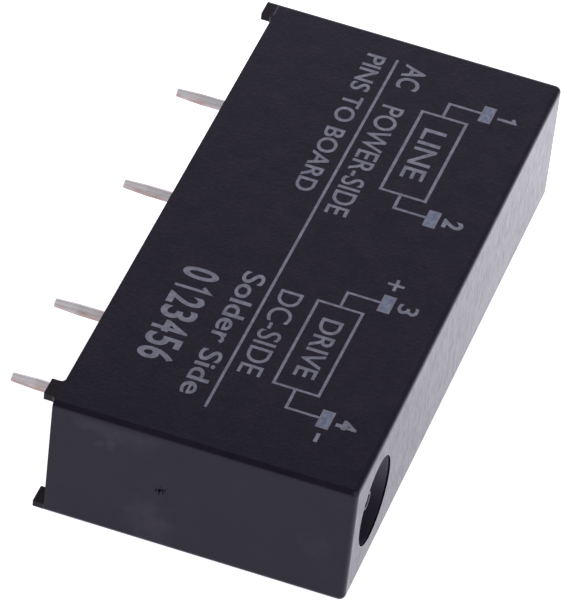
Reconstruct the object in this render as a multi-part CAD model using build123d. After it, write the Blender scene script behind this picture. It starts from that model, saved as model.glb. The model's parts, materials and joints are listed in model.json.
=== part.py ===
from build123d import *
import math
import os

# A potted, pin-row solid state relay, lying on its plain large face. All sizes are millimetres.
# X runs along the case, the terminal pins point to -Y and the marked large face looks to +Z.
# Every shape is drawn with y = 0 at the open rim of the case. The export then shifts the
# whole assembly, so that the origin is the centre of the base of its overall box.

# Case
CASE_LENGTH = 42.7
CASE_HEIGHT = 19.78
CASE_THICK = 9.27
WALL = 0.8
END_DRAFT = 0.004
END_CORNER_RADIUS = 0.43
FACE_EDGE_RADIUS = 0.36
CAVITY_CORNER_RADIUS = 0.5

# Stand-off feet on the rim, diagonal pairs alike: one pair stands further in from the ends
FOOT_HEIGHT = 0.8
FOOT_LENGTH = 1.5
FOOT_THICK = 0.46
FOOT_INSETS = (0.15, 0.55)
FOOT_ROOT_RADIUS = 0.3
FOOT_TIP_RADIUS = 0.08

# Moulding-gate recess in the closed face
RECESS_X = 16.6
RECESS_Z = 4.67
RECESS_RADIUS = 2.95
RECESS_DEPTH = 1.2
RECESS_FLOOR = 0.8
RECESS_PAD_START_X = 12.7
GATE_STUB_X = 16.72
GATE_STUB_Z = 4.6
GATE_STUB_RADIUS = 0.63
GATE_STUB_BELOW_FACE = 0.44
GATE_SCAR_RADIUS = 0.45
GATE_SCAR_DEPTH = 0.06

# Terminal pins, on a 2.54 mm grid
GRID = 2.54
PIN_X = [-6 * GRID, -2 * GRID, 3 * GRID, 6 * GRID]
PIN_Z = 4.47
PIN_RADIUS = 0.375
PIN_OUT = 4.7
PIN_LEAD_IN = 1.6
PIN_TIP_RADIUS = 0.29
PIN_TIP_ROUND = 0.06
BLADE_WIDTH = 1.2
BLADE_THICK = 0.5
BLADE_END = 6.4

# Sealing resin
RESIN_SURFACE = 0.3
RESIN_DEPTH = 2.7

# Circuit board and copper
COPPER_THICK = 0.07
BOARD_THICK = 1.0
COPPER_TOP = PIN_Z - BLADE_THICK / 2
BOARD_TOP = COPPER_TOP - COPPER_THICK
BOARD_BASE = BOARD_TOP - BOARD_THICK
BOARD_END_X = 20.0
BOARD_STEP_X = -3.4
BOARD_START = 3.4
BOARD_STEP = 7.9
BOARD_END = 17.2
SLOT_LENGTH = 6.0
SLOT_WIDTH = 1.0
VIA_RADIUS = 0.35
PIN_PAD_Y = 5.1
PIN_PAD = (2.2, 3.0)
SOLDER_HEIGHT = 0.35
SOLDER_CHAMFER = 0.15

# Power triac, its heat path and its leads
TRIAC_Y = 13.4
TRIAC_FRONT_X = -4.3
TRIAC_WIDTH = 10.0
TAB_LENGTH = 15.3
TAB_THICK = 1.3
TAB_HOLE_RADIUS = 1.85
TAB_HOLE_INSET = 2.9
LEAD_ABOVE_TAB_BASE = 2.7
TAB_BASE = PIN_Z - LEAD_ABOVE_TAB_BASE
TRIAC_BODY_LENGTH = 9.0
TRIAC_BODY_HEIGHT = 3.1
TRIAC_LEAD_WIDTH = 0.8
TRIAC_LEAD_END_X = -0.6
TRIAC_LEAD_ROOT = 1.0
TRIAC_CHIP_SIDE = 3.6
TRIAC_CHIP_THICK = 0.3
THERMAL_PAD_THICK = 0.2
SPREADER_MARGIN = 0.1
LEAD_PAD_X = -1.7
LEAD_PAD = (2.4, 1.5)

# Optocoupler
OPTO_X = 6.0
OPTO_Y = 12.25
OPTO_SIZE = (6.5, 7.3, 3.3)
OPTO_STANDOFF = 0.2
OPTO_LEAD_PITCH = GRID
OPTO_LEAD_WIDTH = 0.9
OPTO_LEAD_THICK = 0.25
OPTO_FOOT_REACH = 5.1
OPTO_PAD_OFFSET = 4.4
OPTO_PAD = (1.7, 1.4)
PADDLE_SIDE = 1.4
PADDLE_GAP = 0.6
LENS_SIZE = (4.0, 3.2, 1.5)
CHIP_SIDE = 0.9
CHIP_THICK = 0.25

# Chip components: length, width, height, end-cap length, cap wall
RESISTOR_SIZE = (2.0, 1.25, 0.5, 0.4, 0.05)
SNUBBER_RESISTOR_SIZE = (3.2, 2.5, 0.6, 0.55, 0.05)
SNUBBER_CAPACITOR_SIZE = (4.5, 3.2, 2.0, 0.6, 0.06)
GATE_RESISTOR_XY = (1.6, 7.3)
INPUT_RESISTOR_X = 13.6
SNUBBER_RESISTOR_XY = (-18.2, 5.6)
SNUBBER_CAPACITOR_XY = (-10.2, 5.5)

# Small moulded semiconductors
TRANSISTOR_X = 17.6
TRANSISTOR_Y = [9.0, 13.2]
TRANSISTOR_SIZE = (1.3, 2.9, 0.95)
TRANSISTOR_LEAD_Y = 0.95
TRANSISTOR_REACH = 1.25
DIODE_XY = (11.43, 4.9)
DIODE_SIZE = (2.7, 1.6, 1.1)
DIODE_REACH = 1.85
SMALL_STANDOFF = 0.1
SMALL_LEAD_WIDTH = 0.45
SMALL_LEAD_THICK = 0.15

CHIP_RESISTOR_ROWS = [y + side * TRANSISTOR_LEAD_Y for y in TRANSISTOR_Y for side in (-1, 1)]
CLOSED_INSIDE = CASE_HEIGHT - WALL
OVERALL_HEIGHT = CASE_HEIGHT + PIN_OUT
RIM_Y = PIN_OUT - OVERALL_HEIGHT / 2


def block(x0, x1, y0, y1, z0, z1):
    """A rectangular solid between two opposite corners."""
    return Pos((x0 + x1) / 2, (y0 + y1) / 2, (z0 + z1) / 2) * Box(x1 - x0, y1 - y0, z1 - z0)


def slab(x, y, length, width, z0, z1):
    """A rectangular solid centred on x, y, between two levels."""
    return Pos(x, y, (z0 + z1) / 2) * Box(length, width, z1 - z0)


def group(shapes):
    """Several separate solids as one sub-part."""
    return Compound([solid for shape in shapes for solid in shape.solids()])


def disc_along_y(x, z, radius, y0, y1):
    """A cylinder whose axis runs along Y."""
    return Pos(x, (y0 + y1) / 2, z) * Rot(90, 0, 0) * Cylinder(radius, y1 - y0)


# ------------------------------------------------------------------ case and resin

def plan_outline(inset, low, high):
    """The case in plan between two heights: both ends lean in by the moulding draft."""
    half_low, half_high = (CASE_LENGTH / 2 - inset - END_DRAFT * y for y in (low, high))
    return Polygon((-half_low, low), (half_low, low), (half_high, high), (-half_high, high), align=None)


def case_outside():
    """The solid outer form down to the feet, with its edges rounded everywhere but there."""
    body = extrude(plan_outline(0, -FOOT_HEIGHT, CASE_HEIGHT), CASE_THICK)
    corners = body.edges().filter_by(Axis.Z).group_by(Axis.Y)[-1]
    body = fillet(corners, END_CORNER_RADIUS)
    faces = body.faces().filter_by(Plane.XY)
    soft_edges = [edge for edge in faces.edges() if edge.center().Y > WALL]
    return fillet(soft_edges, FACE_EDGE_RADIUS)


def cavity():
    """The space inside the case walls, open at the rim."""
    space = Pos(0, 0, WALL) * extrude(plan_outline(WALL, 0, CLOSED_INSIDE), CASE_THICK - 2 * WALL)
    corners = space.edges().filter_by(Axis.Z).group_by(Axis.Y)[-1]
    return fillet(corners, CAVITY_CORNER_RADIUS)


def foot(side, inset, z0, z1):
    """A stand-off tab near a corner of the rim between two levels, with rounded roots and tip."""
    centre = side * (CASE_LENGTH / 2 - inset - FOOT_LENGTH / 2)
    tab = Pos(centre, -FOOT_HEIGHT / 2) * Rectangle(FOOT_LENGTH, FOOT_HEIGHT)
    tab = fillet(tab.vertices().group_by(Axis.Y)[0], FOOT_TIP_RADIUS)
    for edge in (-1, 1):
        radius = min(FOOT_ROOT_RADIUS, inset) if edge == side else FOOT_ROOT_RADIUS
        root = Pos(centre + edge * (FOOT_LENGTH + radius) / 2, -radius / 2) * Rectangle(radius, radius)
        tab += root - Pos(centre + edge * (FOOT_LENGTH / 2 + radius), -radius) * Circle(radius)
    return Pos(0, 0, z0) * extrude(tab, z1 - z0)


def between_feet():
    """What lies below the rim, less the four feet."""
    space = block(-CASE_LENGTH, CASE_LENGTH, -2 * FOOT_HEIGHT, 0, -2 * WALL, CASE_THICK + 2 * WALL)
    for side in (-1, 1):
        space -= foot(side, FOOT_INSETS[side > 0], CASE_THICK - FOOT_THICK, CASE_THICK + WALL)
        space -= foot(side, FOOT_INSETS[side < 0], -WALL, FOOT_THICK)
    return space


def gate_recess():
    """The round sink in the closed face, less the broken-off gate stub that stands in it."""
    floor = CASE_HEIGHT - RECESS_DEPTH
    stub_top = CASE_HEIGHT - GATE_STUB_BELOW_FACE
    sink = disc_along_y(RECESS_X, RECESS_Z, RECESS_RADIUS, floor, CASE_HEIGHT + WALL)
    stub = disc_along_y(GATE_STUB_X, GATE_STUB_Z, GATE_STUB_RADIUS, floor, stub_top)
    scar = disc_along_y(GATE_STUB_X, GATE_STUB_Z, GATE_SCAR_RADIUS, stub_top - GATE_SCAR_DEPTH, stub_top)
    return sink - (stub - scar)


def case():
    """The moulded box on its four feet, with a thick pad under the gate recess."""
    pad_depth = RECESS_DEPTH + RECESS_FLOOR
    pad = block(RECESS_PAD_START_X, CASE_LENGTH / 2, CASE_HEIGHT - pad_depth, CLOSED_INSIDE + WALL / 2,
                WALL / 2, CASE_THICK - WALL / 2)
    shell = case_outside() - cavity() - between_feet()
    shell += pad & case_outside()
    return shell - gate_recess()


def sealing_resin():
    """The poured plug that closes the open side, with the pin blades set in it."""
    band = block(-CASE_LENGTH, CASE_LENGTH, RESIN_SURFACE, RESIN_SURFACE + RESIN_DEPTH, 0, CASE_THICK)
    plug = cavity() & band
    for x in PIN_X:
        plug -= pin_blade(x)
    return plug


# ------------------------------------------------------------------ terminal pins

def pin_blade(x):
    """The flattened root of a pin, set in the resin and soldered to the board."""
    half = BLADE_THICK / 2
    return block(x - BLADE_WIDTH / 2, x + BLADE_WIDTH / 2, RESIN_SURFACE, BLADE_END, PIN_Z - half, PIN_Z + half)


def terminal_pin(x):
    """A round pin with a tapered lead-in at its tip and a flattened root."""
    shank = disc_along_y(x, PIN_Z, PIN_RADIUS, PIN_LEAD_IN - PIN_OUT, RESIN_SURFACE)
    lead_in = Rot(90, 0, 0) * Cone(PIN_RADIUS, PIN_TIP_RADIUS, PIN_LEAD_IN)
    shank += Pos(x, PIN_LEAD_IN / 2 - PIN_OUT, PIN_Z) * lead_in
    shank = fillet(shank.edges().group_by(Axis.Y)[0], PIN_TIP_ROUND)
    return shank + pin_blade(x)


# ------------------------------------------------------------------ board, copper and solder

def via_places():
    """Where a plated hole joins the two copper layers."""
    return [(PIN_X[0], PIN_PAD_Y), (LEAD_PAD_X, TRIAC_Y), (GATE_RESISTOR_XY[0], 5.8)]


def circuit_board():
    """An L-shaped board: a strip beside the triac, full height elsewhere, slotted under the coupler."""
    outline = Polygon((-BOARD_END_X, BOARD_START), (BOARD_END_X, BOARD_START), (BOARD_END_X, BOARD_END),
                      (BOARD_STEP_X, BOARD_END), (BOARD_STEP_X, BOARD_STEP), (-BOARD_END_X, BOARD_STEP),
                      align=None)
    outline -= Pos(OPTO_X, OPTO_Y) * Rot(0, 0, 90) * SlotOverall(SLOT_LENGTH, SLOT_WIDTH)
    for x, y in via_places():
        outline -= Pos(x, y) * Circle(VIA_RADIUS)
    return Pos(0, 0, BOARD_BASE) * extrude(outline, BOARD_THICK)


def track(width, *points):
    """A flat copper route of one width through the points, with round ends."""
    route = Sketch()
    for (x0, y0), (x1, y1) in zip(points, points[1:]):
        run = math.hypot(x1 - x0, y1 - y0)
        turn = math.degrees(math.atan2(y1 - y0, x1 - x0))
        place = Pos((x0 + x1) / 2, (y0 + y1) / 2) * Rot(0, 0, turn)
        route += place * SlotCenterToCenter(run, width)
    return route


def chip_pads(x, y, size, along_y=False):
    """The two lands of a chip component."""
    length, width, _, cap, _ = size
    reach = (length - cap) / 2
    offset = (0, reach) if along_y else (reach, 0)
    land = Rectangle(width, cap * 2) if along_y else Rectangle(cap * 2, width)
    return [Pos(x + side * offset[0], y + side * offset[1]) * land for side in (-1, 1)]


def component_pads():
    """Every land on the upper copper layer."""
    pads = [Pos(x, PIN_PAD_Y) * Rectangle(*PIN_PAD) for x in PIN_X]
    pads += [Pos(LEAD_PAD_X, y) * Rectangle(*LEAD_PAD) for y in triac_lead_rows()]
    for side in (-1, 1):
        for row in (-1, 0, 1):
            spot = Pos(OPTO_X + side * OPTO_PAD_OFFSET, OPTO_Y + row * OPTO_LEAD_PITCH)
            pads.append(spot * Rectangle(*OPTO_PAD))
    for x, y, turned in chip_resistor_places():
        pads += chip_pads(x, y, RESISTOR_SIZE, turned)
    pads += chip_pads(*SNUBBER_RESISTOR_XY, SNUBBER_RESISTOR_SIZE, True)
    pads += chip_pads(*SNUBBER_CAPACITOR_XY, SNUBBER_CAPACITOR_SIZE)
    small = Rectangle(0.9, 0.8)
    for y in TRANSISTOR_Y:
        pads += [Pos(TRANSISTOR_X - 1.1, y + side * TRANSISTOR_LEAD_Y) * small for side in (-1, 1)]
        pads.append(Pos(TRANSISTOR_X + 1.1, y) * small)
    pads += [Pos(DIODE_XY[0] + side * DIODE_REACH, DIODE_XY[1]) * small for side in (-1, 1)]
    return pads


def upper_routes():
    """The routes between the lands: the load side on the left, the control side on the right."""
    load_row, _, gate_row = triac_lead_rows()
    opto_left = OPTO_X - OPTO_PAD_OFFSET
    opto_right = OPTO_X + OPTO_PAD_OFFSET
    resistor_left = INPUT_RESISTOR_X - 0.8
    resistor_right = INPUT_RESISTOR_X + 0.8
    transistor_left = TRANSISTOR_X - 1.1
    transistor_right = TRANSISTOR_X + 1.1
    rows = CHIP_RESISTOR_ROWS
    routes = [
        track(1.0, (PIN_X[0], 4.2), (SNUBBER_RESISTOR_XY[0], 4.2)),
        track(0.5, (SNUBBER_RESISTOR_XY[0], 7.25), (-12.2, 7.25), (-12.2, 6.5)),
        track(1.0, (-8.2, 5.5), (PIN_X[1], 5.5)),
        track(1.4, (PIN_X[1], 4.8), (LEAD_PAD_X, 4.8), (LEAD_PAD_X, load_row)),
        track(0.6, (LEAD_PAD_X, gate_row), (opto_left, gate_row), (opto_left, OPTO_Y + OPTO_LEAD_PITCH)),
        track(0.6, (opto_left, OPTO_Y - OPTO_LEAD_PITCH), (opto_left, 8.1)),
        track(0.8, (PIN_X[2], DIODE_XY[1]), (DIODE_XY[0] - DIODE_REACH, DIODE_XY[1])),
        track(0.6, (DIODE_XY[0] + DIODE_REACH, DIODE_XY[1]), (resistor_left, rows[0])),
        track(0.5, (resistor_left, rows[0]), (resistor_left, rows[1])),
        track(0.5, (opto_right, OPTO_Y), (resistor_left, rows[2])),
        track(0.5, (opto_right, OPTO_Y + OPTO_LEAD_PITCH), (resistor_left, rows[3])),
        track(0.6, (transistor_right, TRANSISTOR_Y[1]), (transistor_right, PIN_PAD_Y), (PIN_X[3], PIN_PAD_Y)),
    ]
    routes += [track(0.5, (resistor_right, row), (transistor_left, row)) for row in rows]
    return routes


def lower_route():
    """The load current's way under the board, from pin 1 to the triac's middle lead."""
    under_x = GATE_RESISTOR_XY[0]
    return track(1.6, (PIN_X[0], PIN_PAD_Y), (under_x, PIN_PAD_Y), (under_x, TRIAC_Y), (LEAD_PAD_X, TRIAC_Y))


def copper_tracks():
    """Both copper layers and the plated holes between them."""
    upper = Sketch()
    for shape in component_pads() + upper_routes():
        upper += shape
    copper = Pos(0, 0, BOARD_TOP) * extrude(upper, COPPER_THICK)
    copper += Pos(0, 0, BOARD_BASE - COPPER_THICK) * extrude(lower_route(), COPPER_THICK)
    for x, y in via_places():
        copper += Pos(x, y, (BOARD_BASE + BOARD_TOP) / 2) * Cylinder(VIA_RADIUS, BOARD_THICK)
    return copper


def solder_mound(x, y, length, width):
    """A low heap of solder with sloping sides, standing on its land."""
    mound = slab(x, y, length, width, COPPER_TOP, COPPER_TOP + SOLDER_HEIGHT)
    return chamfer(mound.faces().sort_by(Axis.Z)[-1].edges(), SOLDER_CHAMFER)


def solder_joints():
    """The joints of the four pins and of the triac's three leads."""
    joints = []
    for x in PIN_X:
        joints.append(solder_mound(x, PIN_PAD_Y, PIN_PAD[0] - 0.2, PIN_PAD[1] - 0.1) - pin_blade(x))
    for y in triac_lead_rows():
        joints.append(solder_mound(LEAD_PAD_X, y, LEAD_PAD[0] - 0.1, LEAD_PAD[1] - 0.1) - triac_lead(y))
    return group(joints)


# ------------------------------------------------------------------ triac and its heat path

def triac_lead_rows():
    """The lead centres along Y: load, middle and gate."""
    return [TRIAC_Y + row * GRID for row in (-1, 0, 1)]


def triac_lead(y):
    """One flat lead, from inside the moulding to the board."""
    return slab((TRIAC_FRONT_X - TRIAC_LEAD_ROOT + TRIAC_LEAD_END_X) / 2, y,
                TRIAC_LEAD_END_X - TRIAC_FRONT_X + TRIAC_LEAD_ROOT, TRIAC_LEAD_WIDTH,
                COPPER_TOP, COPPER_TOP + BLADE_THICK)


def triac_leads():
    return group([triac_lead(y) for y in triac_lead_rows()])


def triac_tab():
    """The plated copper tab, drilled for the screw it has when it is sold on its own."""
    back = TRIAC_FRONT_X - TAB_LENGTH
    tab = slab((back + TRIAC_FRONT_X) / 2, TRIAC_Y, TAB_LENGTH, TRIAC_WIDTH, TAB_BASE, TAB_BASE + TAB_THICK)
    corners = tab.edges().filter_by(Axis.Z).group_by(Axis.X)[0]
    tab = chamfer(corners, 0.6)
    return tab - Pos(back + TAB_HOLE_INSET, TRIAC_Y, TAB_BASE) * Cylinder(TAB_HOLE_RADIUS, 4 * TAB_THICK)


def triac_chip():
    """The silicon die on the tab."""
    base = TAB_BASE + TAB_THICK
    x = TRIAC_FRONT_X - TRIAC_BODY_LENGTH / 2 - 0.5
    return slab(x, TRIAC_Y, TRIAC_CHIP_SIDE, TRIAC_CHIP_SIDE, base, base + TRIAC_CHIP_THICK)


def triac_body():
    """The moulding over the die, with sloping upper edges."""
    base = TAB_BASE + TAB_THICK
    moulding = slab(TRIAC_FRONT_X - TRIAC_BODY_LENGTH / 2, TRIAC_Y, TRIAC_BODY_LENGTH, TRIAC_WIDTH,
                    base, base + TRIAC_BODY_HEIGHT)
    moulding = chamfer(moulding.faces().sort_by(Axis.Z)[-1].edges(), 0.35)
    return moulding - triac_chip() - triac_leads()


def heat_plate(margin, z0, z1):
    """A flat plate under the whole tab."""
    back = TRIAC_FRONT_X - TAB_LENGTH
    return slab((back + TRIAC_FRONT_X) / 2, TRIAC_Y, TAB_LENGTH + 2 * margin, TRIAC_WIDTH + 2 * margin, z0, z1)


def thermal_pad():
    return heat_plate(0, TAB_BASE - THERMAL_PAD_THICK, TAB_BASE)


def heat_spreader():
    """The aluminium plate between the pad and the back wall of the case."""
    return heat_plate(SPREADER_MARGIN, WALL, TAB_BASE - THERMAL_PAD_THICK)


# ------------------------------------------------------------------ gull-wing leads

def gull_lead(root, edge, reach, width, thick, exit_z):
    """A lead that leaves a moulding at one level and lands on the copper, pointing to +X."""
    half = width / 2
    drop_x = edge + thick
    shoulder = block(root, drop_x + thick, -half, half, exit_z, exit_z + thick)
    drop = block(drop_x, drop_x + thick, -half, half, COPPER_TOP, exit_z + thick)
    land = block(drop_x, reach, -half, half, COPPER_TOP, COPPER_TOP + thick)
    return shoulder + drop + land


# ------------------------------------------------------------------ optocoupler

def opto_base():
    return COPPER_TOP + OPTO_STANDOFF


def opto_lead_level():
    return opto_base() + OPTO_SIZE[2] / 2 - OPTO_LEAD_THICK / 2


def optocoupler_leads():
    """Six leads; the middle one of each row carries a paddle for its chip."""
    edge = OPTO_SIZE[0] / 2
    level = opto_lead_level()
    leads = []
    for turn in (0, 180):
        for row in (-1, 0, 1):
            root = PADDLE_GAP / 2 + PADDLE_SIDE if row == 0 else edge - 0.9
            lead = gull_lead(root, edge, OPTO_FOOT_REACH, OPTO_LEAD_WIDTH, OPTO_LEAD_THICK, level)
            if row == 0:
                lead += block(PADDLE_GAP / 2, root, -PADDLE_SIDE / 2, PADDLE_SIDE / 2,
                              level, level + OPTO_LEAD_THICK)
            leads.append(Pos(OPTO_X, OPTO_Y + row * OPTO_LEAD_PITCH, 0) * Rot(0, 0, turn) * lead)
    return group(leads)


def opto_chip(side):
    """A chip on its paddle: the emitter on the control side, the detector on the load side."""
    base = opto_lead_level() + OPTO_LEAD_THICK
    x = OPTO_X + side * (PADDLE_GAP + PADDLE_SIDE) / 2
    return slab(x, OPTO_Y, CHIP_SIDE, CHIP_SIDE, base, base + CHIP_THICK)


def lens_block():
    middle = opto_base() + OPTO_SIZE[2] / 2
    return slab(OPTO_X, OPTO_Y, LENS_SIZE[0], LENS_SIZE[1], middle - LENS_SIZE[2] / 2, middle + LENS_SIZE[2] / 2)


def optocoupler_lens():
    """The clear resin that carries the light from the emitter to the detector."""
    return lens_block() - optocoupler_leads() - opto_chip(-1) - opto_chip(1)


def optocoupler_body():
    moulding = slab(OPTO_X, OPTO_Y, OPTO_SIZE[0], OPTO_SIZE[1], opto_base(), opto_base() + OPTO_SIZE[2])
    moulding = chamfer(moulding.faces().sort_by(Axis.Z)[-1].edges(), 0.3)
    return moulding - lens_block() - optocoupler_leads()


# ------------------------------------------------------------------ chip components

def chip_core(x, y, size, along_y=False):
    """The ceramic of a chip component, lying between its end caps' walls."""
    length, width, height, _, skin = size
    core = slab(0, 0, length - 2 * skin, width - 2 * skin, COPPER_TOP + skin, COPPER_TOP + height - skin)
    return Pos(x, y, 0) * Rot(0, 0, 90 if along_y else 0) * core


def chip_caps(x, y, size, along_y=False):
    """The two metal end caps that wrap the ceramic."""
    length, width, height, cap, _ = size
    place = Pos(x, y, 0) * Rot(0, 0, 90 if along_y else 0)
    caps = []
    for side in (-1, 1):
        outer = slab(side * (length - cap) / 2, 0, cap, width, COPPER_TOP, COPPER_TOP + height)
        caps.append(place * outer - chip_core(x, y, size, along_y))
    return caps


def chip_resistor_places():
    """x, y and whether it is turned: the gate resistor first, then the control side's four."""
    places = [(*GATE_RESISTOR_XY, True)]
    places += [(INPUT_RESISTOR_X, row, False) for row in CHIP_RESISTOR_ROWS]
    return places


def chip_resistor_terminals():
    caps = []
    for x, y, turned in chip_resistor_places():
        caps += chip_caps(x, y, RESISTOR_SIZE, turned)
    return group(caps)


# ------------------------------------------------------------------ small moulded semiconductors

def small_lead(root, edge, reach, body_height):
    level = COPPER_TOP + SMALL_STANDOFF + body_height / 2
    return gull_lead(root, edge, reach, SMALL_LEAD_WIDTH, SMALL_LEAD_THICK, level)


def small_moulding(x, y, size):
    base = COPPER_TOP + SMALL_STANDOFF
    moulding = slab(x, y, size[0], size[1], base, base + size[2])
    return chamfer(moulding.faces().sort_by(Axis.Z)[-1].edges(), 0.12)


def transistor_leads(y):
    """Two leads on the left of a transistor and one on its right."""
    edge = TRANSISTOR_SIZE[0] / 2
    lead = small_lead(edge - 0.3, edge, TRANSISTOR_REACH, TRANSISTOR_SIZE[2])
    left = [Pos(TRANSISTOR_X, y + side * TRANSISTOR_LEAD_Y, 0) * Rot(0, 0, 180) * lead for side in (-1, 1)]
    return left + [Pos(TRANSISTOR_X, y, 0) * lead]


def current_transistor(y):
    moulding = small_moulding(TRANSISTOR_X, y, TRANSISTOR_SIZE)
    for lead in transistor_leads(y):
        moulding -= lead
    return moulding


def current_transistor_leads():
    return group([lead for y in TRANSISTOR_Y for lead in transistor_leads(y)])


def protection_diode_leads():
    edge = DIODE_SIZE[0] / 2
    lead = small_lead(edge - 0.4, edge, DIODE_REACH, DIODE_SIZE[2])
    return group([Pos(*DIODE_XY, 0) * Rot(0, 0, turn) * lead for turn in (0, 180)])


def protection_diode():
    return small_moulding(*DIODE_XY, DIODE_SIZE) - protection_diode_leads()


# ------------------------------------------------------------------ assembly

def assembly():
    """Every sub-part by name."""
    parts = {
        "case": case(),
        "sealing_resin": sealing_resin(),
        "circuit_board": circuit_board(),
        "copper_tracks": copper_tracks(),
        "solder_joints": solder_joints(),
        "heat_spreader": heat_spreader(),
        "thermal_pad": thermal_pad(),
        "triac_tab": triac_tab(),
        "triac_body": triac_body(),
        "triac_chip": triac_chip(),
        "triac_leads": triac_leads(),
        "optocoupler_body": optocoupler_body(),
        "optocoupler_lens": optocoupler_lens(),
        "optocoupler_emitter": opto_chip(1),
        "optocoupler_detector": opto_chip(-1),
        "optocoupler_leads": optocoupler_leads(),
        "snubber_capacitor": chip_core(*SNUBBER_CAPACITOR_XY, SNUBBER_CAPACITOR_SIZE),
        "snubber_capacitor_terminals": group(chip_caps(*SNUBBER_CAPACITOR_XY, SNUBBER_CAPACITOR_SIZE)),
        "snubber_resistor": chip_core(*SNUBBER_RESISTOR_XY, SNUBBER_RESISTOR_SIZE, True),
        "snubber_resistor_terminals":
            group(chip_caps(*SNUBBER_RESISTOR_XY, SNUBBER_RESISTOR_SIZE, True)),
        "chip_resistor_terminals": chip_resistor_terminals(),
        "current_transistor_leads": current_transistor_leads(),
        "protection_diode": protection_diode(),
        "protection_diode_leads": protection_diode_leads(),
    }
    for number, x in enumerate(PIN_X, start=1):
        parts[f"terminal_pin_{number}"] = terminal_pin(x)
    for number, (x, y, turned) in enumerate(chip_resistor_places(), start=1):
        parts[f"chip_resistor_{number}"] = chip_core(x, y, RESISTOR_SIZE, turned)
    for number, y in enumerate(TRANSISTOR_Y, start=1):
        parts[f"current_transistor_{number}"] = current_transistor(y)
    return parts


os.makedirs("parts", exist_ok=True)
for name, shape in assembly().items():
    export_step(Pos(0, RIM_Y, 0) * shape, f"parts/{name}.step")
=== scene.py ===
import json
import math

import bmesh
import bpy
from mathutils import Matrix, Vector, noise


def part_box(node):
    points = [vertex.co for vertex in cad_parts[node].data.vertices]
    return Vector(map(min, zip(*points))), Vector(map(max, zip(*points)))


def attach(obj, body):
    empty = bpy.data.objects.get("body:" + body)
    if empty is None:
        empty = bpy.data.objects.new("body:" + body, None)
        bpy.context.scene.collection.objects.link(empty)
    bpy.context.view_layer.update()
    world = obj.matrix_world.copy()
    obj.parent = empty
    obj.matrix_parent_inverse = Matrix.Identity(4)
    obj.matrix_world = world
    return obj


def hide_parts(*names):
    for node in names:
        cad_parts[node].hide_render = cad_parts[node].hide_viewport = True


MM = 0.001

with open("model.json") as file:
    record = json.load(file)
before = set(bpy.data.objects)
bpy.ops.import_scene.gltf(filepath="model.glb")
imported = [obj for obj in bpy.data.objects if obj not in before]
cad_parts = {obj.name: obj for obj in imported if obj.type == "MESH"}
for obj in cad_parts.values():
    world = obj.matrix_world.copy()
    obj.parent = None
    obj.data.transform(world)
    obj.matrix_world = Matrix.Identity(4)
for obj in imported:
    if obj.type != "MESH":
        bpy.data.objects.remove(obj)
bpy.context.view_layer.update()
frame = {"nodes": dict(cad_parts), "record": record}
nodes = frame["nodes"]

# ---------------------------------------------------------------- driving sizes (mm)
# The feet stand on the rim, and distances along Y on the case are counted from the rim.
FOOT_HEIGHT = 0.8
case_low, case_high = (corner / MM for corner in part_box("case"))
RIM = case_low.y + FOOT_HEIGHT
FACE_Z = case_high.z
END_X = case_high.x
CLOSED_Y = case_high.y

pin_boxes = [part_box(f"terminal_pin_{number}") for number in range(1, 5)]
PIN_AXES = [((low.x + high.x) / 2 / MM, (low.z + high.z) / 2 / MM) for low, high in pin_boxes]
PIN_Z = PIN_AXES[0][1]
PIN_RADIUS = 0.375

# The gate recess in the closed face and the stub in it, as far as their own finish reaches.
RECESS_X, RECESS_Z = 16.6, 4.67
RECESS_REACH = 3.1
RECESS_LIP = 0.13
STUB_X, STUB_Z = 16.72, 4.6
STUB_REACH = 0.66
STUB_TOP_REACH = 0.5
STUB_TOP_DROP = 0.44


def add_object(name, data):
    obj = bpy.data.objects.new(name, data)
    bpy.context.scene.collection.objects.link(obj)
    return obj


# ---------------------------------------------------------------- camera, floor and light

CAMERA_AIM = (-2.641, -0.04, 0.882)
CAMERA_DISTANCE = 384.125
CAMERA_AZIMUTH = 104.506
CAMERA_ELEVATION = 41.695
CAMERA_ROLL = 6.909
CAMERA_LENS = 355.57
CAMERA_CLIP_START = 10

# The table glows by itself, with one strength up to a place along X and another from a second place on.
FLOOR_HALF = 2000
FLOOR_COLOR = (0.40, 0.395, 0.405)
GLOW_TINT = (1.0, 0.985, 1.085)
GLOW_PLACES = (-18, 6)
GLOW_STRENGTHS = (1.17, 0.9)

ROOM_TINT = (1.0, 0.98, 1.04)
ROOM_LIGHT = 0.34
# Soft lights: the way to each, the cosine at its rim, the cosine where it is full, and its strength.
SOFT_LIGHTS = (
    ((0.3, 0.8, 0.52), 0.62, 0.92, 1.15),
    ((0.1, -0.93, 0.35), 0.62, 0.92, 1.7),
    ((-0.93, -0.24, -0.28), 0.45, 0.95, 1.3),
)


def make_camera():
    data = bpy.data.cameras.new("camera")
    data.lens = CAMERA_LENS
    data.clip_start = CAMERA_CLIP_START * MM
    camera = add_object("camera", data)
    azimuth, elevation, roll = (math.radians(a) for a in (CAMERA_AZIMUTH, CAMERA_ELEVATION, CAMERA_ROLL))
    back = Vector((math.sin(azimuth) * math.cos(elevation), -math.cos(azimuth) * math.cos(elevation),
                   math.sin(elevation)))
    right = Vector((0, 0, 1)).cross(back).normalized()
    up = back.cross(right)
    rolled_right = right * math.cos(roll) + up * math.sin(roll)
    rolled_up = up * math.cos(roll) - right * math.sin(roll)
    place = Matrix((rolled_right, rolled_up, back)).transposed().to_4x4()
    place.translation = (Vector(CAMERA_AIM) + back * CAMERA_DISTANCE) * MM
    camera.matrix_world = place
    bpy.context.scene.camera = camera


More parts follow.
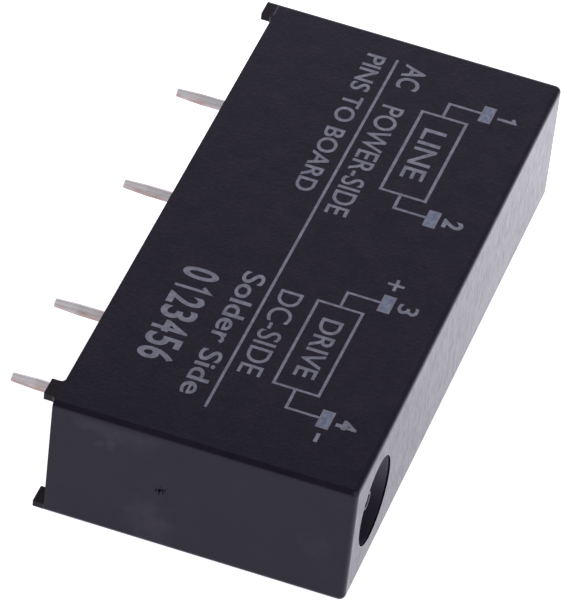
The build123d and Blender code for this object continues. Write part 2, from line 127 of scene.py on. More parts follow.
def make_floor():
    """A pale light table, a little brighter towards the load end."""
    half = FLOOR_HALF * MM
    mesh = bpy.data.meshes.new("floor")
    corners = [(-half, -half, 0), (half, -half, 0), (half, half, 0), (-half, half, 0)]
    mesh.from_pydata(corners, [], [(0, 1, 2, 3)])
    floor = add_object("floor", mesh)
    finish = Finish("floor", roughness=0.9)
    finish.set("Base Color", FLOOR_COLOR)
    finish.set("Specular IOR Level", 0.1)
    finish.set("Emission Color", GLOW_TINT)
    finish.set("Emission Strength", finish.ramp("X", *GLOW_PLACES, *GLOW_STRENGTHS))
    mesh.materials.append(finish.material)


def world_lobe(tree, direction, rim, full, strength):
    """A soft patch of light around one direction of the room."""
    aim = tree.nodes.new("ShaderNodeVectorMath")
    aim.operation = "DOT_PRODUCT"
    aim.inputs[1].default_value = direction
    tree.links.new(tree.nodes["Texture Coordinate"].outputs["Generated"], aim.inputs[0])
    shade = tree.nodes.new("ShaderNodeMapRange")
    shade.interpolation_type = "SMOOTHSTEP"
    shade.inputs["From Min"].default_value = rim
    shade.inputs["From Max"].default_value = full
    shade.inputs["To Min"].default_value = 0.0
    shade.inputs["To Max"].default_value = strength
    tree.links.new(aim.outputs["Value"], shade.inputs["Value"])
    return shade.outputs["Result"]


def make_world():
    """A dim room with soft lights high beyond the closed face, beyond the pins and low past the load end."""
    world = bpy.data.worlds.new("studio")
    world.use_nodes = True
    tree = world.node_tree
    tree.nodes.new("ShaderNodeTexCoord")
    room = tree.nodes.new("ShaderNodeValue")
    total = room.outputs["Value"]
    total.default_value = ROOM_LIGHT
    for light in SOFT_LIGHTS:
        add = tree.nodes.new("ShaderNodeMath")
        tree.links.new(world_lobe(tree, *light), add.inputs[0])
        tree.links.new(total, add.inputs[1])
        total = add.outputs["Value"]
    background = tree.nodes["Background"]
    tree.links.new(total, background.inputs["Strength"])
    background.inputs["Color"].default_value = (*ROOM_TINT, 1)
    bpy.context.scene.world = world


# ---------------------------------------------------------------- material kit

# Noise seldom leaves the middle of its range, so these spans stretch it over the whole of it.
CLOUD_SPAN = (0.3, 0.7)
PATCH_SPAN = (0.35, 0.65)


class Finish:
    """A node material. Sizes, places and depths are millimetres on the object."""

    # Over how far the edges of these masks fade.
    BAND_EDGE = 0.01
    ROD_EDGE = 0.04

    def __init__(self, name, roughness=0.5, metallic=0.0, ior=1.5):
        self.material = bpy.data.materials.new(name)
        self.material.use_nodes = True
        self.tree = self.material.node_tree
        self.shader = self.tree.nodes["Principled BSDF"]
        self.set("Roughness", roughness)
        self.set("Metallic", metallic)
        self.set("IOR", ior)
        self.coords = self.node("ShaderNodeTexCoord").outputs["Object"]
        self.normal = None

    def node(self, kind, **settings):
        node = self.tree.nodes.new(kind)
        for key, value in settings.items():
            setattr(node, key, value)
        return node

    def feed(self, socket, value):
        """Link another node's output into a socket, or set its number or colour."""
        if isinstance(value, bpy.types.NodeSocket):
            self.tree.links.new(value, socket)
        elif socket.type == "RGBA":
            socket.default_value = (*value, 1)
        else:
            socket.default_value = value

    def set(self, name, value):
        """Feed one input of the shader."""
        self.feed(self.shader.inputs[name], value)

    def math(self, operation, first, second):
        node = self.node("ShaderNodeMath", operation=operation)
        self.feed(node.inputs[0], first)
        self.feed(node.inputs[1], second)
        return node.outputs["Value"]

    def plus(self, first, second):
        return self.math("ADD", first, second)

    def times(self, first, second):
        return self.math("MULTIPLY", first, second)

    def vector_math(self, operation, first, second, result="Vector"):
        node = self.node("ShaderNodeVectorMath", operation=operation)
        self.feed(node.inputs[0], first)
        self.feed(node.inputs[1], second)
        return node.outputs[result]

    def spread(self, value, start, end, low=0.0, high=1.0, smooth=False):
        """A value between start and end, carried over to low and high."""
        node = self.node("ShaderNodeMapRange", interpolation_type="SMOOTHSTEP" if smooth else "LINEAR")
        self.feed(node.inputs["Value"], value)
        for name, number in (("From Min", start), ("From Max", end), ("To Min", low), ("To Max", high)):
            node.inputs[name].default_value = number
        return node.outputs["Result"]

    def blend(self, factor, first, second):
        """Two colours mixed by a value."""
        node = self.node("ShaderNodeMix", data_type="RGBA")
        for index, value in ((0, factor), (6, first), (7, second)):
            self.feed(node.inputs[index], value)
        return node.outputs[2]

    # Patterns

    def scaled(self, size, shift=0.0):
        """The object's coordinates divided by a pattern size, one number or three."""
        sizes = size if isinstance(size, tuple) else (size, size, size)
        mapping = self.node("ShaderNodeMapping")
        mapping.inputs["Location"].default_value = (shift, shift, shift)
        mapping.inputs["Scale"].default_value = [1 / (s * MM) for s in sizes]
        self.feed(mapping.inputs["Vector"], self.coords)
        return mapping.outputs["Vector"]

    def clouds(self, size, detail=2.0, shift=0.0):
        texture = self.node("ShaderNodeTexNoise")
        texture.inputs["Scale"].default_value = 1.0
        texture.inputs["Detail"].default_value = detail
        self.feed(texture.inputs["Vector"], self.scaled(size, shift))
        return texture.outputs["Fac"]

    def cells(self, size):
        """The distance to the nearest of many scattered points."""
        texture = self.node("ShaderNodeTexVoronoi")
        texture.inputs["Scale"].default_value = 1.0
        self.feed(texture.inputs["Vector"], self.scaled(size))
        return texture.outputs["Distance"]

    def weave(self, size):
        """Threads along X and Y that cross."""
        threads = []
        for axis in ("X", "Y"):
            wave = self.node("ShaderNodeTexWave", bands_direction=axis)
            wave.inputs["Scale"].default_value = 1.0
            wave.inputs["Distortion"].default_value = 0.4
            self.feed(wave.inputs["Vector"], self.scaled(size))
            threads.append(wave.outputs["Fac"])
        return self.times(*threads)

    # Places on the object

    def across(self, axis):
        """The object's coordinate along X, Y or Z, in metres."""
        node = self.node("ShaderNodeSeparateXYZ")
        self.feed(node.inputs[0], self.coords)
        return node.outputs[axis]

    def along(self, direction):
        """How far a point lies along a direction, in metres."""
        return self.vector_math("DOT_PRODUCT", self.coords, direction, "Value")

    def distance(self, centre, weights=(1, 1, 1)):
        """How far a point lies from a centre given in mm, with each axis weighed; in metres."""
        offset = self.vector_math("SUBTRACT", self.coords, Vector(centre) * MM)
        weighed = self.vector_math("MULTIPLY", offset, weights)
        return self.vector_math("LENGTH", weighed, (0, 0, 0), "Value")

    def ramp(self, axis, start, end, low=0.0, high=1.0):
        """A value that runs from low to high between two places along an axis."""
        return self.spread(self.across(axis), start * MM, end * MM, low, high)

    def below(self, axis, limit, soft):
        """A mask of 1 on the low side of a place along an axis."""
        return self.ramp(axis, limit - soft, limit, 1.0, 0.0)

    def band(self, axis, middle, reach):
        """A mask of 1 within a distance of a plane across an axis."""
        away = self.math("ABSOLUTE", self.math("SUBTRACT", self.across(axis), middle * MM), 0.0)
        return self.spread(away, (reach - self.BAND_EDGE) * MM, (reach + self.BAND_EDGE) * MM, 1.0, 0.0)

    def rod(self, x, z, radius):
        """A mask of 1 inside a rod along Y."""
        away = self.distance((x, 0, z), (1, 0, 1))
        return self.spread(away, radius * MM, (radius + self.ROD_EDGE) * MM, 1.0, 0.0)

    def spot(self, centre, radius, soft, ragged, grain):
        """A mask of 1 inside a ragged spot with a soft edge."""
        torn = self.spread(self.clouds(grain, 3.0, 4.1), *CLOUD_SPAN, -ragged * MM, ragged * MM)
        reach = self.plus(self.distance(centre), torn)
        return self.spread(reach, radius * MM, (radius + soft) * MM, 1.0, 0.0, smooth=True)

    def bump(self, height, depth):
        """Raise the surface by a pattern, on top of the bumps it already has."""
        node = self.node("ShaderNodeBump")
        node.inputs["Distance"].default_value = depth * MM
        self.feed(node.inputs["Height"], height)
        if self.normal is not None:
            self.feed(node.inputs["Normal"], self.normal)
        self.normal = node.outputs["Normal"]
        self.set("Normal", self.normal)


# ---------------------------------------------------------------- case plastic

PLASTIC_DARK, PLASTIC_LIGHT = (0.0055, 0.0042, 0.0115), (0.0103, 0.0079, 0.0175)
PLASTIC_SHEEN = (0.575, 0.555, 0.61)
PAINTED_SHADE_COLOR = (0.0025, 0.0015, 0.005)
SMUDGE_COLOR = (0.021, 0.0185, 0.031)
FOOT_COLOR = (0.0105, 0.0075, 0.0105)
RIM_HIGHLIGHT_COLOR = (0.055, 0.05, 0.062)
RECESS_DARK, RECESS_LIGHT = (0.022, 0.0185, 0.028), (0.14, 0.132, 0.155)
STUB_COLOR = (0.17, 0.165, 0.185)
PIT_SHADE_COLOR = (0.001, 0.001, 0.001)

# Painted shade: the plastic is darker from here to the control end, by this much at most.
SHADE_START, SHADE_MOST = 13, 0.5
# Smudges on the control end face: distance from the rim, height, size and weight.
SMUDGES = (
    (2.2, 8.5, 1.38, 0.35),
    (3.6, 8.4, 1.84, 0.55),
    (5.8, 8.3, 1.84, 0.5),
    (3.9, 7.0, 0.805, 0.5),
    (6.6, 2.4, 2.185, 0.6),
    (7.3, 1.2, 1.84, 0.4),
    (17.4, 4.2, 1.61, 0.3),
)
SMUDGE_TOP = 8.85
# A small pit on the control end face, its shade painted nearly black: distance from the rim, height and
# radius.
PIT_FROM_RIM, PIT_HEIGHT, PIT_RADIUS = 7.4, 4.72, 0.13
# The feet are coloured a redder grey, which ends this far past the rim.
FEET_TONE_END = 0.05
# The painted highlight along the line where the feet of the load end meet the rim: its half width, and its
# reach along X.
RIM_HIGHLIGHT_HALF, RIM_HIGHLIGHT_REACH = 0.05, 1.45
# The light in the recess grows this way, between two distances from the recess's axis.
RECESS_LIGHT_WAY = (-0.617, 0, 0.787)
RECESS_LIGHT_START, RECESS_LIGHT_END = -0.8, 3.3


def smudged(finish, color):
    """A colour with faint smudges over the flat part of the control end face."""
    flat = finish.below("Z", SMUDGE_TOP, soft=0.3)
    for from_rim, height, size, weight in SMUDGES:
        smudge = finish.spot((END_X, RIM + from_rim, height), radius=0.0, soft=size, ragged=0.6, grain=0.8)
        color = finish.blend(finish.times(finish.times(smudge, flat), weight), color, SMUDGE_COLOR)
    return color


def recess_mask(finish):
    """A mask of 1 on the floor and wall of the gate recess, apart from the stub."""
    inside = finish.times(finish.rod(RECESS_X, RECESS_Z, RECESS_REACH),
                          finish.below("Y", CLOSED_Y - RECESS_LIP, soft=0.03))
    return finish.math("SUBTRACT", inside, finish.rod(STUB_X, STUB_Z, STUB_REACH))


def recess_color(finish):
    """Dusty plastic that is paler on the side where the light falls in."""
    axis = Vector(RECESS_LIGHT_WAY).dot(Vector((RECESS_X, 0, RECESS_Z)))
    lit = finish.spread(finish.along(RECESS_LIGHT_WAY), (axis + RECESS_LIGHT_START) * MM,
                        (axis + RECESS_LIGHT_END) * MM, smooth=True)
    return finish.blend(lit, RECESS_DARK, RECESS_LIGHT)


def case_finish():
    """Satin black plastic: fine grain, faint smudges, one small pit with its shade painted in, and a dull
    gate recess.
    """
    finish = Finish("case_plastic", ior=1.4)
    finish.set("Specular Tint", PLASTIC_SHEEN)
    grain = finish.clouds((0.22, 0.22, 0.9), 3.0)
    haze = finish.clouds(1.6, 4.0)

    color = finish.blend(finish.spread(haze, *CLOUD_SPAN), PLASTIC_DARK, PLASTIC_LIGHT)
    # Painted shade, deepening towards the control end.
    color = finish.blend(finish.ramp("X", SHADE_START, END_X, 0.0, SHADE_MOST), color, PAINTED_SHADE_COLOR)
    color = smudged(finish, color)
    feet = finish.below("Y", RIM + FEET_TONE_END, soft=0.3)
    color = finish.blend(feet, color, FOOT_COLOR)
    # A painted highlight along the rim by the feet of the load end.
    rim_highlight = finish.times(finish.band("Y", RIM, RIM_HIGHLIGHT_HALF), finish.band("X", -END_X, RIM_HIGHLIGHT_REACH))
    color = finish.blend(rim_highlight, color, RIM_HIGHLIGHT_COLOR)
    recess = recess_mask(finish)
    color = finish.blend(recess, color, recess_color(finish))
    stub = finish.times(finish.rod(STUB_X, STUB_Z, STUB_TOP_REACH),
                        finish.band("Y", CLOSED_Y - STUB_TOP_DROP, reach=0.05))
    color = finish.blend(stub, color, STUB_COLOR)
    # The pit is a shallow dent whose shade is painted nearly black and without gloss.
    pit = finish.spot((END_X, RIM + PIT_FROM_RIM, PIT_HEIGHT), PIT_RADIUS, soft=0.13, ragged=0.36, grain=0.13)
    finish.set("Base Color", finish.blend(pit, color, PIT_SHADE_COLOR))

    satin = finish.spread(grain, *CLOUD_SPAN, 0.14, 0.27)
    dusty = finish.plus(satin, finish.times(finish.plus(recess, stub), 0.35))
    finish.set("Roughness", finish.plus(dusty, finish.times(pit, 0.6)))
    duller = finish.math("MAXIMUM", pit, finish.times(feet, 0.35))
    finish.set("Specular IOR Level", finish.spread(duller, 0.0, 1.0, 0.5, 0.0))

    finish.bump(grain, 0.009)
    finish.bump(haze, 0.012)
    finish.bump(finish.clouds(0.11, 1.0), 0.0012)
    finish.bump(finish.times(recess, finish.clouds((0.25, 4.0, 0.25))), 0.02)
    finish.bump(pit, -0.05)
    return finish.material


# ---------------------------------------------------------------- other materials

# Painted shade in a darker, coppery colour on the underside of each pin ends in a ragged line along the pin:
# it is full up to one height over the pin's axis and gone at the next.
UNDERSIDE_SHADE_FULL, UNDERSIDE_SHADE_END, UNDERSIDE_SHADE_RAGGED = 0.03, 0.22, 0.08
# The ink is darker towards the control end, between two places along X and by this much at most.
INK_DARKENING_PLACES, INK_DARKENING_MOST = (-16, 16), 0.16
INK_GROUND = (0.02, 0.018, 0.025)


def pin_finish():
    """Tinned copper wire, drawn along its length, with painted shade in a coppery colour on its underside."""
    finish = Finish("pin_metal", metallic=1.0)
    patches = finish.clouds(1.1, 4.0)
    tin = finish.blend(finish.spread(patches, *PATCH_SPAN), (0.62, 0.625, 0.625), (0.63, 0.565, 0.555))
    # Painted shade: the darker, coppery colour of the pins' underside.
    underside_shade = finish.blend(finish.spread(patches, 0.4, 0.6), (0.46, 0.41, 0.40), (0.42, 0.31, 0.27))
    ragged = finish.spread(finish.clouds((0.5, 1.5, 0.5), 3.0, 2.0), *CLOUD_SPAN,
                           -UNDERSIDE_SHADE_RAGGED * MM, UNDERSIDE_SHADE_RAGGED * MM)
    height = finish.plus(finish.across("Z"), ragged)
    under = finish.spread(height, (PIN_Z + UNDERSIDE_SHADE_FULL) * MM, (PIN_Z + UNDERSIDE_SHADE_END) * MM, 1.0, 0.0, smooth=True)
    finish.set("Base Color", finish.blend(under, tin, underside_shade))
    lines = finish.clouds((0.12, 3.0, 0.12), 2.0, 7.0)
    finish.set("Roughness", finish.spread(lines, *CLOUD_SPAN, 0.42, 0.6))
    finish.bump(lines, 0.006)
    return finish.material


def resin_finish():
    """Poured black epoxy, glossy, with faint swirls and a few sunken bubbles."""
    finish = Finish("resin")
    swirl = finish.clouds((5.0, 5.0, 2.5), 3.0)
    color = finish.blend(finish.spread(swirl, *PATCH_SPAN), (0.008, 0.008, 0.009), (0.016, 0.015, 0.017))
    finish.set("Base Color", color)
    finish.set("Roughness", finish.spread(finish.clouds(1.2, 2.0, 2.0), *CLOUD_SPAN, 0.08, 0.2))
    finish.bump(finish.spread(finish.cells(1.4), 0.0, 0.16, smooth=True), 0.03)
    finish.bump(swirl, 0.02)
    return finish.material


def metal_finish(name, light, dark, roughness, grain, streak=None, depth=0.004):
    """A metal of two shades in patches, rough in places, with a rolled or drawn grain."""
    finish = Finish(name, metallic=1.0)
    finish.set("Base Color", finish.blend(finish.spread(finish.clouds(grain, 4.0), *PATCH_SPAN), light, dark))
    lines = finish.clouds(streak or grain / 4, 2.0, 7.0)
    finish.set("Roughness", finish.spread(lines, *CLOUD_SPAN, roughness - 0.08, roughness + 0.1))
    finish.bump(lines, depth)
    return finish.material


def grained_finish(name, light, dark, roughness, patch, grain, depth):
    """A dull or glossy solid of two close shades, with a fine grain."""
    finish = Finish(name)
    finish.set("Base Color", finish.blend(finish.spread(finish.clouds(patch, 3.0), *CLOUD_SPAN), light, dark))
    fine = finish.clouds(grain, 2.0, 3.0)
    finish.set("Roughness", finish.spread(fine, *CLOUD_SPAN, roughness - 0.06, roughness + 0.06))
    finish.bump(fine, depth)
    return finish.material


def laminate_finish():
    """Glass-epoxy board: the weave of the cloth shows through the resin."""
    finish = Finish("board_laminate")
    cloth = finish.weave(0.9)
    tone = finish.blend(cloth, (0.10, 0.17, 0.045), (0.19, 0.27, 0.09))
    stain = finish.spread(finish.clouds(6.0), *CLOUD_SPAN, 0.0, 0.5)
    finish.set("Base Color", finish.blend(stain, tone, (0.08, 0.15, 0.05)))
    finish.set("Roughness", finish.spread(cloth, 0.0, 1.0, 0.3, 0.45))
    finish.bump(cloth, 0.006)
    return finish.material


def clear_finish():
    """Milky silicone that lets some light through."""
    finish = Finish("clear_resin", ior=1.41)
    finish.set("Base Color", finish.blend(finish.clouds(0.8, 3.0), (0.80, 0.80, 0.72), (0.92, 0.92, 0.88)))
    finish.set("Roughness", finish.spread(finish.clouds(0.3), *CLOUD_SPAN, 0.12, 0.25))
    finish.set("Transmission Weight", 0.4)
    finish.bump(finish.clouds(0.9, 1.0, 5.0), 0.01)
    return finish.material


def ink_finish(name, light, dark, patch):
    """Thin grey print that lies unevenly on the plastic, a little darker towards the control end."""
    finish = Finish(name, ior=1.4)
    color = finish.blend(finish.spread(finish.clouds(patch, 4.0), 0.35, 0.62), light, dark)
    darkening = finish.ramp("X", *INK_DARKENING_PLACES, 0.0, INK_DARKENING_MOST)
    finish.set("Base Color", finish.blend(darkening, color, INK_GROUND))
    fine = finish.clouds(0.09, 2.0, 3.0)
    finish.set("Roughness", finish.spread(fine, *CLOUD_SPAN, 0.4, 0.6))
    finish.bump(fine, 0.002)
    return finish.material


def make_metals():
    """The slots that are plain metal."""
    return {
        "copper": metal_finish("copper", light=(0.83, 0.42, 0.25), dark=(0.68, 0.31, 0.17),
                               roughness=0.3, grain=2.5),
        "solder": metal_finish("solder", light=(0.66, 0.67, 0.69), dark=(0.42, 0.43, 0.45),
                               roughness=0.25, grain=0.7, depth=0.012),
        "spreader_metal": metal_finish("spreader_metal", light=(0.80, 0.81, 0.82), dark=(0.70, 0.71, 0.73),
                                       roughness=0.3, grain=5.0, streak=(8.0, 0.12, 0.12)),
        "tab_metal": metal_finish("tab_metal", light=(0.72, 0.68, 0.62), dark=(0.58, 0.53, 0.48),
                                  roughness=0.32, grain=3.0, streak=(6.0, 0.1, 0.1)),
        "silicon": metal_finish("silicon", light=(0.20, 0.21, 0.25), dark=(0.12, 0.13, 0.17),
                                roughness=0.2, grain=0.4, depth=0.001),
        "lead_metal": metal_finish("lead_metal", light=(0.62, 0.62, 0.64), dark=(0.50, 0.50, 0.53),
                                   roughness=0.35, grain=0.8, streak=(1.5, 0.1, 0.1)),
    }


def make_grained():
    """The slots that are a fine-grained solid."""
    return {
        "pad_rubber": grained_finish("pad_rubber", light=(0.20, 0.24, 0.28), dark=(0.24, 0.28, 0.32),
                                     roughness=0.75, patch=2.0, grain=0.15, depth=0.01),
        "moulding_compound": grained_finish("moulding_compound", light=(0.012, 0.012, 0.013),
                                            dark=(0.022, 0.022, 0.023), roughness=0.5, patch=1.5,
                                            grain=0.08, depth=0.006),
        "alumina": grained_finish("alumina", light=(0.78, 0.78, 0.74), dark=(0.70, 0.70, 0.67),
                                  roughness=0.6, patch=0.6, grain=0.05, depth=0.003),
        "capacitor_ceramic": grained_finish("capacitor_ceramic", light=(0.34, 0.22, 0.13),
                                            dark=(0.28, 0.17, 0.10), roughness=0.4, patch=0.8,
                                            grain=0.07, depth=0.003),
    }


def make_finishes():
    """One material for each slot of the record."""
    return {
        "case_plastic": case_finish(),
        "resin": resin_finish(),
        "pin_metal": pin_finish(),
        "board_laminate": laminate_finish(),
        "clear_resin": clear_finish(),
        **make_metals(),
        **make_grained(),
    }


def dress_nodes(finishes):
    """Give every CAD node the finish of its slot."""
    for entry in frame["record"]["subparts"]:
        slots = nodes[entry["node"]].data.materials
        slots.clear()
        slots.append(finishes[entry["material_slot"]])


# ---------------------------------------------------------------- resin surface

RESIN_COLUMNS, RESIN_ROWS = 300, 56
RESIN_GAP = 0.005
# How high the resin creeps, and the distance over which that falls to a third.
WALL_RISE, WALL_REACH = 0.17, 0.3
PIN_RISE, PIN_REACH = 0.22, 0.28
WAVE_HEIGHT, WAVES_ALONG, WAVES_ACROSS, WAVE_PLACE = 0.03, 0.25, 0.4, 3.1
# How much closer together the mesh lines lie near the walls, from 0 to 1.
CROWDING = 0.4


def resin_rise(x, z, low, high):
    """How far the resin's surface stands over its level: most of all at the walls and the pins."""
    wall = min(x - low.x, high.x - x, z - low.z, high.z - z)
    rise = WALL_RISE * math.exp(-wall / WALL_REACH)
    for pin_x, pin_z in PIN_AXES:
        away = max(0.0, math.hypot(x - pin_x, z - pin_z) - PIN_RADIUS)
        rise = max(rise, PIN_RISE * math.exp(-away / PIN_REACH))
    return rise + WAVE_HEIGHT * noise.noise(Vector((x * WAVES_ALONG, WAVE_PLACE, z * WAVES_ACROSS)))


def crowded(count, start, end):
    """Places from start to end that lie closer together near both ends."""
    places = []
    for step in range(count + 1):
        t = step / count
        eased = (1 - CROWDING) * t + CROWDING * (1 - math.cos(math.pi * t)) / 2
        places.append(start + RESIN_GAP + (end - start - 2 * RESIN_GAP) * eased)
    return places


def make_resin(material):
    """The poured resin: it creeps up the walls and the pins, and its surface is not quite flat."""
    low, high = (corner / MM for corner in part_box("sealing_resin"))
    bm = bmesh.new()
    front = []
    for x in crowded(RESIN_COLUMNS, low.x, high.x):
        line = []
        for z in crowded(RESIN_ROWS, low.z, high.z):
            line.append(bm.verts.new(Vector((x, low.y - resin_rise(x, z, low, high), z)) * MM))
        front.append(line)
    for line, after in zip(front, front[1:]):
        for j in range(RESIN_ROWS):
            face = bm.faces.new((line[j], after[j], after[j + 1], line[j + 1]))
            face.smooth = True

    edge = [line[0] for line in front[:-1]] + front[-1][:-1]
    edge += [line[-1] for line in front[:0:-1]] + front[0][:0:-1]
    back = [bm.verts.new((v.co.x, high.y * MM, v.co.z)) for v in edge]
    for k in range(len(edge)):
        after = (k + 1) % len(edge)
        bm.faces.new((edge[after], edge[k], back[k], back[after]))
    bm.faces.new(back)
    bmesh.ops.recalc_face_normals(bm, faces=bm.faces)

    mesh = bpy.data.meshes.new("poured_resin")
    bm.to_mesh(mesh)
    bm.free()
    mesh.materials.append(material)
    resin = add_object("poured_resin", mesh)
    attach(resin, "root")
    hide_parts("sealing_resin")


# ---------------------------------------------------------------- print on the marked face
# The print is laid out flat, with X along the rule and Y up from it, and then turned and placed.
INK_THICK = 0.012
PRINT_TURN = -0.55
PRINT_ORIGIN = (0.19, 8.89)
MERGE_DISTANCE = 1e-5
LETTER_STEPS = 6

RULE = ((-19.23, -0.06), (17.6, -0.06))
RULE_WIDTH = 0.19

# One side of the diagram has two pads and a box between them. A box is left, low, right, high.
WIRE_Y = 4.49
PAD_LOW, PAD_HIGH = 6.66, 7.5
PAD_HALF = 0.83
PAD_FRAME = 0.13
LOAD_PADS, CONTROL_PADS = (-16.48, -5.08), (3.87, 15.52)
LOAD_BOX, CONTROL_BOX = (-15.0, 3.1, -6.5, 6.14), (5.36, 3.03, 13.72, 6.0)
LOAD_STROKE, CONTROL_STROKE = 0.205, 0.19

# The figures stand over the pads, and each has a weight that is added to its strokes.
FIGURE_LOW, FIGURE_HIGH = 7.8, 9.16
FIGURES = (("2", LOAD_PADS[1], 0.034), ("3", CONTROL_PADS[0], 0.011), ("4", CONTROL_PADS[1], 0.05))
FIGURE_LEFT, FIGURE_RIGHT = 0.45, 0.43
ONE_LEFT, ONE_RIGHT, ONE_DROP, ONE_STROKE = 0.28, 0.2, 0.06, 0.25
# A figure 1 in a cell of the lot code starts and ends at these shares of it.
ONE_SHARES = (0.3, 0.75)
# The height where the flag of a 1 ends, as a share of the figure's.
FLAG_END = 0.76

PLUS_CENTRE, PLUS_HALF_WIDE, PLUS_HALF_HIGH, PLUS_STROKE = (1.94, 7.06), 0.56, 0.54, 0.22
MINUS_BOX = (16.86, 7.0, 17.68, 7.25)

# Each word with its box and the weight that is added to its strokes.
WORDS = (
    ("LINE", (-13.48, 3.78, -8.22, 5.32), 0.01),
    ("DRIVE", (6.74, 3.82, 12.5, 5.25), 0.011),
    ("AC", (-19.14, 0.59, -16.6, 2.14), 0.018),
    ("POWER-SIDE", (-14.56, 0.5, -2.8, 2.02), 0.01),
    ("DC-SIDE", (5.33, 0.56, 13.71, 2.1), 0.004),
    ("PINS TO BOARD", (-19.1, -2.1, -4.14, -0.78), 0.015),
    ("Solder Side", (4.65, -2.08, 16.97, -0.61), 0.013),
)
LOT_CODE, LOT_BOX = "0123456", (5.69, -5.7, 14.96, -3.32)
LOT_GAP, LOT_STROKE, LOT_WEIGHT = 0.25, 0.24, 0.021


def printed(x, y):
    """A point of the print, turned and placed on the case."""
    turn = math.radians(PRINT_TURN)
    return (PRINT_ORIGIN[0] + x * math.cos(turn) - y * math.sin(turn),
            RIM + PRINT_ORIGIN[1] + x * math.sin(turn) + y * math.cos(turn))


def box_corners(x0, y0, x1, y1):
    return [(x0, y0), (x1, y0), (x1, y1), (x0, y1)]


class Ink:
    """Flat closed shapes of ink, collected into one mesh."""

    def __init__(self):
        self.bm = bmesh.new()

    def sheet(self, outline, faces):
        """A thin plate of one or more faces that all turn the same way."""
        top = [self.bm.verts.new((x, y, INK_THICK)) for x, y in outline]
        base = [self.bm.verts.new((x, y, 0)) for x, y in outline]
        edges = {edge for face in faces for edge in zip(face, face[1:] + face[:1])}
        for face in faces:
            self.bm.faces.new([top[i] for i in face])
            self.bm.faces.new([base[i] for i in reversed(face)])
        for a, b in sorted(edges):
            if (b, a) not in edges:
                self.bm.faces.new([top[b], top[a], base[a], base[b]])

    def ribbon(self, points, width, closed=False):
        """A stroke of one width with mitred corners."""
        count = len(points)
        sides = []
        for i, point in enumerate(points):
            here = Vector(point)
            before = Vector(points[i - 1]) if i or closed else None
            after = Vector(points[(i + 1) % count]) if i < count - 1 or closed else None
            along_in = (here - before).normalized() if before is not None else (after - here).normalized()
            along_out = (after - here).normalized() if after is not None else along_in
            normal_in = Vector((-along_in.y, along_in.x))
            normal_out = Vector((-along_out.y, along_out.x))
            mitre = (normal_in + normal_out).normalized()
            reach = width / 2 / mitre.dot(normal_in)
            sides += [here + mitre * reach, here - mitre * reach]
        faces = []
        for i in range(count if closed else count - 1):
            j = (i + 1) % count
            faces.append([2 * i, 2 * i + 1, 2 * j + 1, 2 * j])
        self.sheet([(p.x, p.y) for p in sides], faces)

    def patch(self, x0, y0, x1, y1):
        self.sheet(box_corners(x0, y0, x1, y1), [[0, 1, 2, 3]])

    def plus(self, x, y):
        """A plus sign round its centre: one bar across, and an arm under and over it."""
        half = PLUS_STROKE / 2
        self.patch(x - PLUS_HALF_WIDE, y - half, x + PLUS_HALF_WIDE, y + half)
        self.patch(x - half, y - PLUS_HALF_HIGH, x + half, y - half)
        self.patch(x - half, y + half, x + half, y + PLUS_HALF_HIGH)

    def one(self, x0, y0, x1, y1, width):
        """A figure 1 with a flag: the built-in one is a bare bar."""
        stem = x1 - width / 2
        self.ribbon([(x0, y0 + FLAG_END * (y1 - y0)), (stem, y1 - width / 2), (stem, y0)], width)

    def words(self, text, x0, y0, x1, y1, weight):
        """Letters scaled to fill a box."""
        curve = bpy.data.curves.new("letters", "FONT")
        curve.body = text
        curve.resolution_u = LETTER_STEPS
        curve.offset = weight
        # Any depth will do: it only tells a letter's front from its back.
        curve.extrude = 0.5
        holder = add_object("letters", curve)
        bpy.context.view_layer.update()
        mesh = bpy.data.meshes.new_from_object(holder.evaluated_get(bpy.context.evaluated_depsgraph_get()))
        xs = [v.co.x for v in mesh.vertices]
        ys = [v.co.y for v in mesh.vertices]
        wide, high = max(xs) - min(xs), max(ys) - min(ys)
        for v in mesh.vertices:
            v.co.x = x0 + (v.co.x - min(xs)) / wide * (x1 - x0)
            v.co.y = y0 + (v.co.y - min(ys)) / high * (y1 - y0)
            v.co.z = INK_THICK if v.co.z > 0 else 0
        self.bm.from_mesh(mesh)
        bpy.data.objects.remove(holder)
        bpy.data.curves.remove(curve)
        bpy.data.meshes.remove(mesh)

    def lot_code(self):
        """Numerals, each in a cell of its own."""
        x0, y0, x1, y1 = LOT_BOX
        cell = (x1 - x0 + LOT_GAP) / len(LOT_CODE)
        for i, figure in enumerate(LOT_CODE):
            left = x0 + i * cell
            right = left + cell - LOT_GAP
            if figure == "1":
                start, end = (left + share * (right - left) for share in ONE_SHARES)
                self.one(start, y0, end, y1, LOT_STROKE)
            else:
                self.words(figure, left, y0, right, y1, LOT_WEIGHT)

    def lay(self, name, material):
        """Place the shapes on the marked face as one piece."""
        bmesh.ops.remove_doubles(self.bm, verts=self.bm.verts, dist=MERGE_DISTANCE)
        bmesh.ops.recalc_face_normals(self.bm, faces=self.bm.faces)
        for v in self.bm.verts:
            x, y = printed(v.co.x, v.co.y)
            v.co = Vector((x, y, FACE_Z + v.co.z)) * MM
        mesh = bpy.data.meshes.new(name)
        self.bm.to_mesh(mesh)
        self.bm.free()
        mesh.materials.append(material)
        piece = add_object(name, mesh)
        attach(piece, "root")


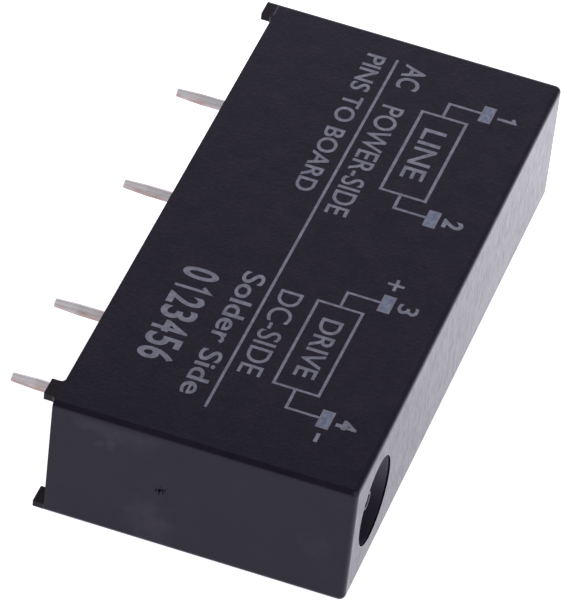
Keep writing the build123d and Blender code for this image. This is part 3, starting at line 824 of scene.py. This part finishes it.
def circuit_sketch(ink, pads, box, stroke):
    """One side of the diagram: two framed pads and their wires to a box."""
    ink.ribbon(box_corners(*box), stroke, closed=True)
    inset = PAD_FRAME / 2
    for pad, side, out in zip(pads, (box[0], box[2]), (-1, 1)):
        ink.ribbon([(pad, PAD_LOW), (pad, WIRE_Y), (side + out * stroke / 2, WIRE_Y)], stroke)
        half = PAD_HALF - inset
        frame_box = (pad - half, PAD_LOW + inset, pad + half, PAD_HIGH - inset)
        ink.ribbon(box_corners(*frame_box), PAD_FRAME, closed=True)


def terminal_figures(ink):
    """The figures 1 to 4 over the pads, and the signs of the control side."""
    ink.one(LOAD_PADS[0] - ONE_LEFT, FIGURE_LOW, LOAD_PADS[0] + ONE_RIGHT, FIGURE_HIGH - ONE_DROP, ONE_STROKE)
    for figure, x, weight in FIGURES:
        ink.words(figure, x - FIGURE_LEFT, FIGURE_LOW, x + FIGURE_RIGHT, FIGURE_HIGH, weight)
    ink.plus(*PLUS_CENTRE)
    ink.patch(*MINUS_BOX)


def make_print():
    """Every mark on the case: a rule, a wiring sketch, and plain words and figures."""
    ink = Ink()
    ink.ribbon(RULE, RULE_WIDTH)
    circuit_sketch(ink, LOAD_PADS, LOAD_BOX, LOAD_STROKE)
    circuit_sketch(ink, CONTROL_PADS, CONTROL_BOX, CONTROL_STROKE)
    terminal_figures(ink)
    for text, box, weight in WORDS:
        ink.words(text, *box, weight)
    ink.lot_code()
    ink.lay("print_lines", ink_finish("print_lines", light=(0.197, 0.199, 0.25), dark=(0.13, 0.134, 0.174),
                                      patch=0.35))
    pads = Ink()
    half = PAD_HALF - PAD_FRAME
    for x in LOAD_PADS + CONTROL_PADS:
        pads.patch(x - half, PAD_LOW + PAD_FRAME, x + half, PAD_HIGH - PAD_FRAME)
    pads.lay("print_pads", ink_finish("print_pads", light=(0.186, 0.206, 0.288), dark=(0.105, 0.123, 0.186),
                                      patch=0.3))


make_camera()
make_floor()
make_world()
finishes = make_finishes()
dress_nodes(finishes)
make_resin(finishes["resin"])
make_print()

bpy.context.scene.view_settings.view_transform = "Standard"
